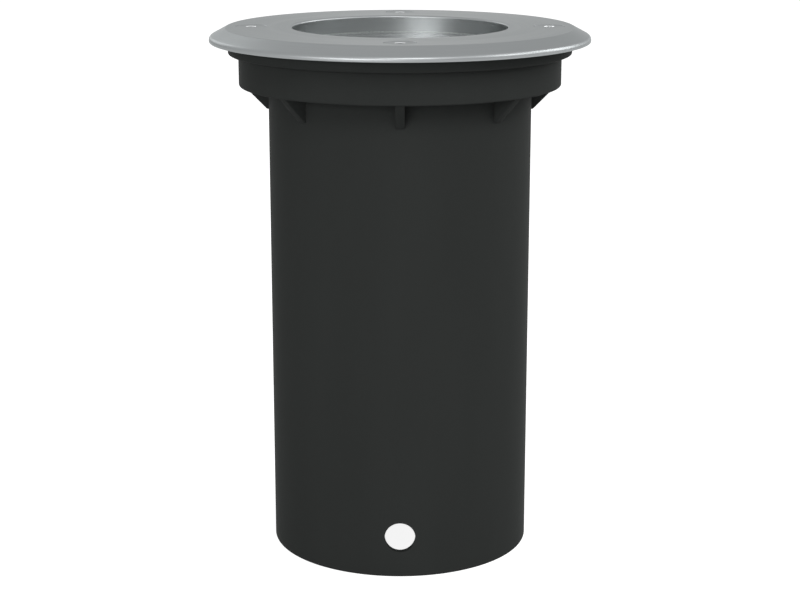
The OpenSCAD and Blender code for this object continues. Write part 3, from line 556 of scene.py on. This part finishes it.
FINISHES = {
    "sleeve_plastic": moulded_plastic("moulded_polypropylene", "#323433", "#373938", 0.6, 0.5 * MM),
    "housing_plastic": moulded_plastic("moulded_nylon", "#323433", "#363837", 0.6, 0.4 * MM),
    "gland_plastic": moulded_plastic("moulded_gland_nylon", "#232524", "#292b2a", 0.45, 0.3 * MM),
    "face_steel": brushed_steel("brushed_stainless_steel", ("#8d9091", "#959899"),
                                0.36, 0.35 * MM, "#d9dbdb"),
    "screw_steel": turned_steel("stainless_screw_steel", ("#8a8d8e", "#959899"), 0.34, "#d4d6d6"),
    # The socket steel is burnished, and drawn much lighter than the head's steel, so its colour paints glints
    # into each socket
    "burnished_glint_steel": plain_metal("burnished_socket_steel_painted_glints", ("#dcdedf", "#e8eaeb"), 0.2, 1 * MM),
    "strip_steel": plain_metal("zinc_plated_strip", ("#b3b6b8", "#c3c6c8"), 0.34, 4 * MM),
    "clear_glass": float_glass("toughened_glass"),
    "seal_rubber": rubber("silicone_seal", "#1c1c1c", "#242424"),
    "pale_rubber": rubber("translucent_silicone", "#cfd1d1", "#dadcdc"),
    "copper": plain_metal("bare_copper_strands", ("#b87a55", "#c98f6c"), 0.35, 0.5 * MM),
    "brass": plain_metal("turned_brass", ("#c3a05a", "#d2b26e"), 0.28, 2 * MM),
    "plated_pins": plain_metal("nickel_plate", ("#bdbcb4", "#cfcec8"), 0.22, 2 * MM),
    "lamp_shell": coated("white_powder_coat", ("#d6d7d6", "#dddedd"), 0.45, 0.35 * MM, 0.03 * MM),
    "lamp_plastic": coated("white_thermoplastic", ("#dedcd6", "#e4e2dc"), 0.4, 0.4 * MM, 0.01 * MM),
    "lens_plastic": coated("frosted_lens", ("#e6eaec", "#eef1f2"), 0.3, 0.5 * MM, 0.01 * MM),
    "light_board": coated("white_solder_mask", ("#e2e2de", "#e8e8e4"), 0.35, 0.4 * MM, 0.005 * MM),
    "light_chips": coated("phosphor_gel", ("#e2c93f", "#ecd65c"), 0.3, 0.3 * MM, 0.01 * MM),
    "driver_board": coated("green_solder_mask", ("#265a38", "#2f6b43"), 0.35, 0.5 * MM, 0.01 * MM),
    "ceramic": coated("unglazed_steatite", ("#e4e0d5", "#ece9e0"), 0.62, 0.35 * MM, 0.03 * MM, 0.4),
    "terminal_plastic": coated("natural_polyamide", ("#d2cfc3", "#dad7cd"), 0.42, 0.4 * MM, 0.01 * MM),
    "live_insulation": coated("brown_silicone_sleeve", ("#5f331d", "#6d3d25"), 0.45, 0.4 * MM, 0.01 * MM),
    "neutral_insulation": coated("blue_silicone_sleeve", ("#2a579b", "#3263ab"), 0.45, 0.4 * MM, 0.01 * MM),
    "earth_insulation": coated("green_silicone_sleeve", ("#6f9628", "#7fa632"), 0.45, 0.4 * MM, 0.01 * MM),
    "spun_aluminium": spun_metal("spun_aluminium", ("#d0d2d3", "#dcdedf"), 0.03),
}

SLOT_OF = {s["node"]: s["material_slot"] for s in frame["record"]["subparts"]}
BODY_OF = {n: b for b, nodes in frame["record"]["behaviour"]["bodies"].items() for n in nodes}


def fitted(piece, *nodes):
    """The piece stands for these CAD nodes, which it hides, and rides on their body."""
    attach(piece, BODY_OF[nodes[0]])
    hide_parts(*nodes)
    return piece


# Ground sleeve

def gusset():
    """One triangular rib between the barrel and the collar's underside."""
    root_r = barrel_r - 1 * MM
    shelf = collar_top - collar_h
    outline = [(root_r, ribs_foot + 0.01 * MM), (barrel_r + 0.5 * MM, ribs_foot + 0.01 * MM),
               (rib_reach, shelf - 0.3 * MM), (rib_reach, shelf + 1 * MM), (root_r, shelf + 1 * MM)]
    return prism("gusset", outline, rib_t, FINISHES["sleeve_plastic"], 0.3 * MM)


def ground_sleeve():
    """One moulding: the barrel, the shelf and collar above it, eight gussets below, and the cable hole."""
    finish = FINISHES["sleeve_plastic"]
    shelf = collar_top - collar_h
    bore_r = collar_r - collar_wall
    sleeve = turned("ground_sleeve", rounded([
        (barrel_bore_r, 0, 0.3 * MM), (barrel_r, 0, 0.5 * MM),
        (barrel_r, shelf, 0.6 * MM), (collar_r, shelf, 0.5 * MM), (collar_r, collar_top, 0.4 * MM),
        (bore_r, collar_top, 0.3 * MM), (bore_r, shelf + shelf_t, 0.5 * MM),
        (barrel_bore_r, shelf + shelf_t, 0.4 * MM),
    ]), finish, 240)
    rib = gusset()
    ribs = grown("gussets", AROUND, finish, rib.data, Count=rib_count)
    bpy.data.objects.remove(rib)
    carved(sleeve, ribs, "UNION")
    turn = Matrix.Translation((0, 0, cable_hole_z)) @ Matrix.Rotation(math.pi / 2, 4, "X")
    near, far = 30 * MM, 50 * MM
    drill = turned("drill", [(0, near), (cable_hole_r, near), (cable_hole_r, far), (0, far)], finish, 64)
    carved(sleeve, placed(drill, turn))
    return fitted(settled(sleeve), "sleeve_barrel", "sleeve_collar", "sleeve_ribs")


# Face ring, glass and seals

def bevel_corners():
    """The ring's outer corners: where the flat top ends, and the rounded edge under the bevel."""
    turn = math.pi / 2 - bevel_angle
    edge_x = ring_r - edge_round
    start_x = edge_x + edge_round * math.cos(turn)
    start_z = ring_top - (start_x - ring_r + bevel_w) * math.tan(bevel_angle)
    corner_z = start_z - edge_round * math.sin(turn) + edge_round * math.tan(turn / 2)
    return [(ring_r - bevel_w, ring_top, 0.5 * MM), (ring_r, corner_z, edge_round)]


def face_ring():
    """The bevelled steel ring, turned from its section, with four countersunk screw holes."""
    finish = FINISHES["face_steel"]
    ring = turned("steel_ring", rounded([
        (ring_bore_r, spigot_foot, 0), (ring_bore_r, ring_top, lip_round), *bevel_corners(),
        (ring_r, housing_top, 0.3 * MM), (flange_r + relief_w / 2, housing_top, 0),
        (flange_r + relief_w / 2, housing_top + relief_h, 0), (flange_r, housing_top + relief_h, 0),
        (flange_r - relief_w / 2, housing_top, 0), (spigot_r, housing_top, 0),
        (spigot_r, spigot_foot, 0.2 * MM),
    ]), finish, 288)
    head_r = screw_head_r + 0.03 * MM
    sink = ring_top - screw_edge - screw_sink
    chamfer = 0.12 * MM
    rim_r = head_r + 1.2 * chamfer
    under, over = housing_top - 1 * MM, ring_top + 1 * MM
    tool = turned("countersink", [
        (0, under), (screw_hole_r, under), (screw_hole_r, sink - head_r + screw_hole_r), (head_r, sink),
        (head_r, ring_top - chamfer), (rim_r, ring_top + 0.2 * chamfer), (rim_r, over), (0, over),
    ], finish, 64)
    placed(tool, Matrix.Translation((0, -screw_ring_r, 0)))
    tools = grown("countersinks", AROUND, finish, tool.data, Count=4)
    bpy.data.objects.remove(tool)
    carved(ring, tools)
    return fitted(settled(ring), "face_ring")


def cover_glass():
    """The glass disc, polished, with its edges ground to a small chamfer."""
    low, high, chamfer = foot("cover_glass"), top("cover_glass"), 0.5 * MM
    face_r = glass_r - chamfer
    glass = turned("glass_disc", [
        (0, low), (face_r, low), (glass_r, low + chamfer), (glass_r, high - chamfer),
        (face_r, high), (0, high),
    ], FINISHES["clear_glass"], 240)
    return fitted(settled(glass, math.radians(20)), "cover_glass")


# Face screws

def threaded_rod(name, finish, low, high, radius, depth, pitch):
    """A threaded rod on the axis, between two heights."""
    rod = grown(name, THREAD, finish, None, Length=high - low, Radius=radius, Depth=depth, Pitch=pitch)
    return placed(rod, Matrix.Translation((0, 0, (low + high) / 2)))


def face_screw(node, i):
    """A countersunk hex socket screw: the head with its socket, and the threaded shank."""
    finish = FINISHES["screw_steel"]
    low, high = foot(node), top(node)
    shank_r, head_r, rounding = 2 * MM, screw_head_r, 0.12 * MM
    cone_foot = high - screw_edge - head_r + shank_r
    overlap = cone_foot - 0.4 * MM
    head = turned("head", [
        (0, overlap), (shank_r - 0.3 * MM, overlap), (shank_r, cone_foot), (head_r, high - screw_edge),
        (head_r, high - rounding), (head_r - rounding, high), (0, high),
    ], finish, 72)
    corner_r = 1.25 * MM / math.cos(math.pi / 6)
    chamfer = 0.15 * MM
    # The socket's walls and chamfer take the lighter burnished steel, whose colour paints the glints in the
    # socket
    carved(head, turned("socket", [
        (0, high - 1.9 * MM), (corner_r, high - 1.6 * MM), (corner_r, high - chamfer),
        (corner_r + 2 * chamfer, high + chamfer), (0, high + chamfer),
    ], FINISHES["burnished_glint_steel"], 6))
    carved(head, threaded_rod("shank", finish, low, cone_foot, shank_r, 0.42 * MM, 0.7 * MM), "UNION")
    turn = Matrix.Rotation(i * TAU / 4, 4, "Z") @ Matrix.Translation((0, -screw_ring_r, 0))
    piece = settled(placed(head, turn @ Matrix.Rotation(0.4 + i, 4, "Z")))
    piece.name = node.replace("face", "socket")
    return fitted(piece, node)


def glass_gasket():
    """The rubber channel that wraps the edge of the glass."""
    gasket = turned("gasket_channel", rounded([
        (pot_bore_r, gasket_foot, 0.2 * MM), (gasket_r, gasket_foot, 0.4 * MM),
        (gasket_r, housing_top, 0.3 * MM), (pot_bore_r, housing_top, 0),
        (pot_bore_r, top("cover_glass"), 0), (glass_r, top("cover_glass"), 0),
        (glass_r, foot("cover_glass"), 0), (pot_bore_r, foot("cover_glass"), 0.2 * MM),
    ]), FINISHES["pale_rubber"], 180)
    return fitted(gasket, "glass_gasket")


def flange_seal():
    """The flat seal between ring and housing, crowned a little where the ring presses on it."""
    seal = turned("seal_ring", rounded([
        (seal_bore_r, foot("flange_seal"), 0.2 * MM), (seal_r, foot("flange_seal"), 0.2 * MM),
        (seal_r, housing_top, 0.5 * MM), (seal_bore_r, housing_top, 0.5 * MM),
    ]), FINISHES["seal_rubber"], 180)
    return fitted(seal, "flange_seal")


def reflector():
    """The spun bowl: a curved wall that opens towards the glass, with a flat rim and a rolled lip."""
    sheet, curve, steps = 0.8 * MM, 1.6, 20
    mouth_r, foot_r = pot_bore_r - 0.3 * MM, 25 * MM + sheet
    rim_top, lip_top = gasket_foot, top("reflector")
    rim_foot = rim_top - sheet
    drop, narrow = rim_foot - foot("reflector"), mouth_r - foot_r

    def wall(s, inset):
        slope = curve * narrow * s ** (curve - 1)
        inwards = Vector((-drop, slope)).normalized()
        return Vector((mouth_r - narrow * s ** curve, rim_foot - drop * s)) + inset * inwards

    outline = [(gasket_r, rim_foot)]
    outline += [wall(i / steps, 0) for i in range(steps + 1)]
    outline += [wall(i / steps, sheet) for i in range(steps, 0, -1)]
    outline += [(mouth_r - sheet, rim_foot), (mouth_r - sheet, lip_top - 0.2 * MM),
                (mouth_r - 0.7 * sheet, lip_top), (mouth_r - 0.2 * sheet, lip_top),
                (mouth_r, lip_top - 0.2 * MM), (mouth_r, rim_top), (gasket_r, rim_top)]
    return fitted(turned("reflector_bowl", outline, FINISHES["spun_aluminium"], 240), "reflector")


# Lamp

def lens_plate():
    """The moulded front lens: fine rings on top, and a collimator cone under it above each light chip."""
    finish = FINISHES["lens_plastic"]
    low, high = foot("lamp_lens"), top("lamp_lens")
    rim_r, chamfer = inner_and_outer_radius("lamp_lens")[1], 0.3 * MM
    ring_pitch, ring_depth = 1.0 * MM, 0.18 * MM
    outline = [(0, low), (rim_r, low), (rim_r, high - chamfer), (rim_r - chamfer, high)]
    rings = int((rim_r - 1 * MM) / ring_pitch)
    for k in range(rings, 0, -1):
        outline += [(k * ring_pitch, high), ((k - 0.5) * ring_pitch, high - ring_depth)]
    lens = turned("lens_plate", outline + [(0, high)], finish, 120)
    cone_foot, cone_top, cone_r = top("light_chips") + 0.3 * MM, low + 0.4 * MM, 5 * MM
    cone = turned("collimator", rounded([
        (0, cone_foot, 0), (2 * MM, cone_foot, 0.3 * MM), (cone_r, low - 1.2 * MM, 0.6 * MM),
        (cone_r, cone_top, 0), (0, cone_top, 0),
    ]), finish, 40)
    placed(cone, Matrix.Translation((chip_ring_r, 0, 0)))
    cones = grown("collimators", AROUND, finish, cone.data, Count=6)
    bpy.data.objects.remove(cone)
    carved(lens, cones, "UNION")
    return fitted(settled(lens, math.radians(12)), "lamp_lens")


# Lamp housing

def hole(r, x, y, low, high):
    """A round cutter along Z."""
    tool = turned("cutter", [(0, low), (r, low), (r, high), (0, high)], FINISHES["housing_plastic"], 48)
    return placed(tool, Matrix.Translation((x, y, 0)))


def lamp_housing():
    """The moulded pot with its seat for the glass, centring skirt and flange, and the holes in them."""
    finish = FINISHES["housing_plastic"]
    seat_top = foot("reflector") + 5.2 * MM
    under = collar_top
    groove_foot = foot("flange_seal")
    pot = turned("housing_moulding", rounded([
        (gland_hole_r, pot_foot, 0), (pot_r, pot_foot, 1.2 * MM), (pot_r, seat_top - seat_t, 0.2 * MM),
        (seat_r + seat_wall, seat_top - seat_t, 0.4 * MM), (seat_r + seat_wall, under, 0.4 * MM),
        (skirt_r - skirt_wall, under, 0.4 * MM), (skirt_r - skirt_wall, under - skirt_h, 0.5 * MM),
        (skirt_r, under - skirt_h, 0.5 * MM), (skirt_r, under, 0), (flange_r, under, 0.4 * MM),
        (flange_r, housing_top, 0.3 * MM), (seal_r, housing_top, 0.1 * MM), (seal_r, groove_foot, 0),
        (seal_bore_r, groove_foot, 0), (seal_bore_r, housing_top, 0.1 * MM), (seat_r, housing_top, 0.3 * MM),
        (seat_r, seat_top, 0), (pot_bore_r, seat_top, 0.2 * MM), (pot_bore_r, floor_top, 0.8 * MM),
        (gland_hole_r, floor_top, 0),
    ]), finish, 240)
    insert = hole(insert_r, 0, -screw_ring_r, housing_top - insert_l, housing_top + 1 * MM)
    carved(pot, grown("insert_holes", AROUND, finish, insert.data, Count=4))
    bpy.data.objects.remove(insert)
    low, high = floor_top - small_hole_depth, floor_top + 1 * MM
    for x in (-24.5 * MM, 24.5 * MM):
        carved(pot, hole(small_hole_r, x, 0, low, high))
    for x in (-4 * MM, 4 * MM):
        carved(pot, hole(block_hole_r, x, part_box("terminal_block")[0].y + 6 * MM, low, high))
    return fitted(settled(pot), "lamp_housing")


# Cable gland

def gland_stem():
    """The gland's body: a hexagon on a threaded stem that goes through the floor, and its stepped bore."""
    finish = FINISHES["gland_plastic"]
    low, high = foot("gland_body"), top("gland_body")
    stem = threaded_rod("gland_stem", finish, low, high, gland_r, 0.6 * MM, 1.5 * MM)
    bore_r, corner_r = inner_and_outer_radius("gland_body")
    hex_foot, hex_top = top("gland_seal"), foot("gland_washer")
    hexagon = turned("hexagon", [(0, hex_foot), (corner_r, hex_foot), (corner_r, hex_top), (0, hex_top)],
                     finish, 6)
    carved(stem, eased(hexagon, 0.4 * MM), "UNION")
    seal_seat_r, step = inner_and_outer_radius("gland_seal")[1], hex_foot + 0.02 * MM
    under, over = low - 1 * MM, high + 1 * MM
    carved(stem, turned("stepped_bore", [
        (0, under), (seal_seat_r, under), (seal_seat_r, step), (bore_r, step), (bore_r, over), (0, over),
    ], finish, 96))
    return fitted(settled(stem), "gland_body")


# Leads

def lead_tree():
    """A sleeved wire along the polyline it is given, bared for Bare at its start to show its strands."""
    tree, given, ends = new_tree("lead", Radius="Float", Core="Float", Bare="Float",
                                 **{"Core Finish": "Material"})
    route = add(tree, "GeometryNodeMeshToCurve", {0: given["Geometry"]})
    length = add(tree, "GeometryNodeCurveLength", {0: route.outputs[0]})
    cover = add(tree, "GeometryNodeTrimCurve", {"Curve": route.outputs[0]}, mode="LENGTH")
    starts = [i for i in cover.inputs if i.enabled and i.type == "VALUE"]
    tree.links.new(given["Bare"], starts[0])
    tree.links.new(length.outputs[0], starts[1])
    tubes = []
    for line, radius, finish in ((cover, "Radius", "Finish"), (route, "Core", "Core Finish")):
        section = add(tree, "GeometryNodeCurvePrimitiveCircle", {"Resolution": 20, "Radius": given[radius]})
        tube = add(tree, "GeometryNodeCurveToMesh",
                   {0: line.outputs[0], 1: section.outputs[0], "Fill Caps": True})
        tubes.append(add(tree, "GeometryNodeSetMaterial",
                         {"Geometry": tube.outputs[0], "Material": given[finish]}))
    both = add(tree, "GeometryNodeJoinGeometry")
    for tube in tubes:
        tree.links.new(tube.outputs[0], both.inputs[0])
    real = add(tree, "GeometryNodeRealizeInstances", {0: both.outputs[0]})
    tree.links.new(real.outputs[0], ends.inputs[0])
    return tree


def smooth_route(points, steps=10):
    """Points along the curve that the lead follows through its route's points."""
    p = [Vector(q) * MM for q in points]
    route = []
    for i in range(len(p) - 1):
        a, b, c, d = p[max(i - 1, 0)], p[i], p[i + 1], p[min(i + 2, len(p) - 1)]
        for k in range(steps):
            t = k / steps
            bend, twist = 2 * a - 5 * b + 4 * c - d, 3 * b - a - 3 * c + d
            route.append(0.5 * (2 * b + (c - a) * t + bend * t ** 2 + twist * t ** 3))
    return route + [p[-1]]


def lead(node, points):
    """One silicone lead from the terminal block, its bared end inside the clamping tube."""
    route = smooth_route(points)
    line = bpy.data.meshes.new(node)
    line.from_pydata(route, [(i, i + 1) for i in range(len(route) - 1)], [])
    wire = grown(node + "_wire", LEAD, FINISHES[SLOT_OF[node]], line,
                 Radius=1 * MM, Core=0.65 * MM, Bare=3.4 * MM, Core_Finish=FINISHES["copper"])
    return fitted(settled(wire), node)


LEAD = lead_tree()


# Everything, in the order it is put together

ground_sleeve()
lamp_housing()
flange_seal()
face_ring()
cover_glass()
glass_gasket()
reflector()
lens_plate()
gland_stem()
for number, side in enumerate(("front", "right", "back", "left")):
    face_screw("face_screw_" + side, number)
for name, points in LEAD_ROUTES.items():
    lead(name, points)

# Width of the rounded corners, in millimetres, on the CAD nodes that keep their shape
SOFTENED = {
    "lamp_heat_sink": 0.2, "lamp_base": 0.3, "light_chips": 0.15, "lamp_pins": 0.3, "driver_board": 0.1,
    "thread_inserts": 0.15, "holder_bracket": 0.25, "lampholder": 0.4, "lampholder_screws": 0.15,
    "bracket_screws": 0.15, "terminal_block": 0.3, "terminal_tubes": 0.1, "terminal_screws": 0.1,
    "terminal_fixing_screws": 0.1, "earth_lug": 0.1, "earth_screw": 0.15, "gland_washer": 0.3,
    "gland_locknut": 0.4, "gland_nut": 0.4,
}
for node, edge in SOFTENED.items():
    fitted(softened(node, node + "_shape", FINISHES[SLOT_OF[node]], edge * MM), node)
for node, obj in frame["nodes"].items():
    if not obj.hide_render:
        obj.data.materials.clear()
        obj.data.materials.append(FINISHES[SLOT_OF[node]])


# Studio: a pale floor, soft lamps and the camera

def camera():
    """The photograph's viewpoint: just above the ring and close to it, looking a little down."""
    looks_down = math.radians(14.2)
    data = bpy.data.cameras.new("camera")
    data.lens = 83.76
    data.sensor_width = 36
    eye = bpy.data.objects.new("camera", data)
    eye.location = (0, -0.540, 0.2095)
    eye.rotation_euler = (math.pi / 2 - looks_down, 0, 0)
    bpy.context.scene.collection.objects.link(eye)
    bpy.context.scene.camera = eye


def seen_directly(tree):
    """1 for rays that show the background itself: from the camera, off metal or through glass."""
    rays = add(tree, "ShaderNodeLightPath").outputs
    share = rays["Is Camera Ray"]
    for kind in ("Is Glossy Ray", "Is Transmission Ray"):
        both = add(tree, "ShaderNodeMath", {0: share, 1: rays[kind]}, operation="ADD", use_clamp=True)
        share = both.outputs[0]
    return share


def backdrop_light(ambient):
    """The world: white where it is seen, and a softer light on the object."""
    world = bpy.data.worlds.new("studio")
    bpy.context.scene.world = world
    world.use_nodes = True
    tree = world.node_tree
    tree.nodes.clear()
    strength = between(tree, seen_directly(tree), ambient, 1.0)
    shell = add(tree, "ShaderNodeBackground", {"Color": (1, 1, 1, 1), "Strength": strength})
    add(tree, "ShaderNodeOutputWorld", {"Surface": shell.outputs[0]})


def floor():
    """A pale floor that shows white, keeps a faint shadow, and throws little light up at the object."""
    reach = 4.0
    corners = [(x * reach, y * reach, 0) for x, y in ((-1, -1), (1, -1), (1, 1), (-1, 1))]
    mesh = bpy.data.meshes.new("floor")
    mesh.from_pydata(corners, [], [(0, 1, 2, 3)])
    plane = bpy.data.objects.new("floor", mesh)
    bpy.context.scene.collection.objects.link(plane)
    finish = bpy.data.materials.new("pale_floor")
    finish.use_nodes = True
    tree = finish.node_tree
    tree.nodes.clear()
    strength = between(tree, seen_directly(tree), 0.0, 0.9)
    paint = add(tree, "ShaderNodeBsdfDiffuse", {"Color": linear("#c0c0c0")})
    glow = add(tree, "ShaderNodeEmission", {"Color": (1, 1, 1, 1), "Strength": strength})
    both = add(tree, "ShaderNodeAddShader", {0: paint.outputs[0], 1: glow.outputs[0]})
    add(tree, "ShaderNodeOutputMaterial", {"Surface": both.outputs[0]})
    mesh.materials.append(finish)


def soft_lamp(name, bearing, climb, size, power):
    """A soft box at LAMP_DISTANCE, at a bearing to the right of the camera's side and a climb above level."""
    bearing, climb = math.radians(bearing), math.radians(climb)
    level = Vector((math.sin(bearing), -math.cos(bearing), 0))
    out = level * math.cos(climb) + Vector((0, 0, math.sin(climb)))
    data = bpy.data.lights.new(name, "AREA")
    data.shape = "RECTANGLE"
    data.size, data.size_y = size
    data.energy = power
    lamp = bpy.data.objects.new(name, data)
    lamp.location = LAMP_AIM + LAMP_DISTANCE * out
    lamp.rotation_euler = out.to_track_quat("Z", "Y").to_euler()
    bpy.context.scene.collection.objects.link(lamp)


LAMP_AIM = Vector((0, 0, 0.1))
LAMP_DISTANCE = 1.4
# Name, bearing and climb in degrees, width and height in metres, power in watts
LAMPS = [
    ("front", 8, 38, (0.4, 0.5), 4.0),
    ("left_low", -26, 12, (0.9, 0.4), 5.6),
    ("right_side", 72, 30, (0.4, 0.6), 3.4),
    ("right_back", 112, 25, (0.4, 0.8), 5.6),
    ("left_back", -145, 22, (0.5, 0.6), 1.6),
]
camera()
backdrop_light(0.33)
floor()
for lamp in LAMPS:
    soft_lamp(*lamp)

scene = bpy.context.scene
scene.view_settings.view_transform = "Standard"
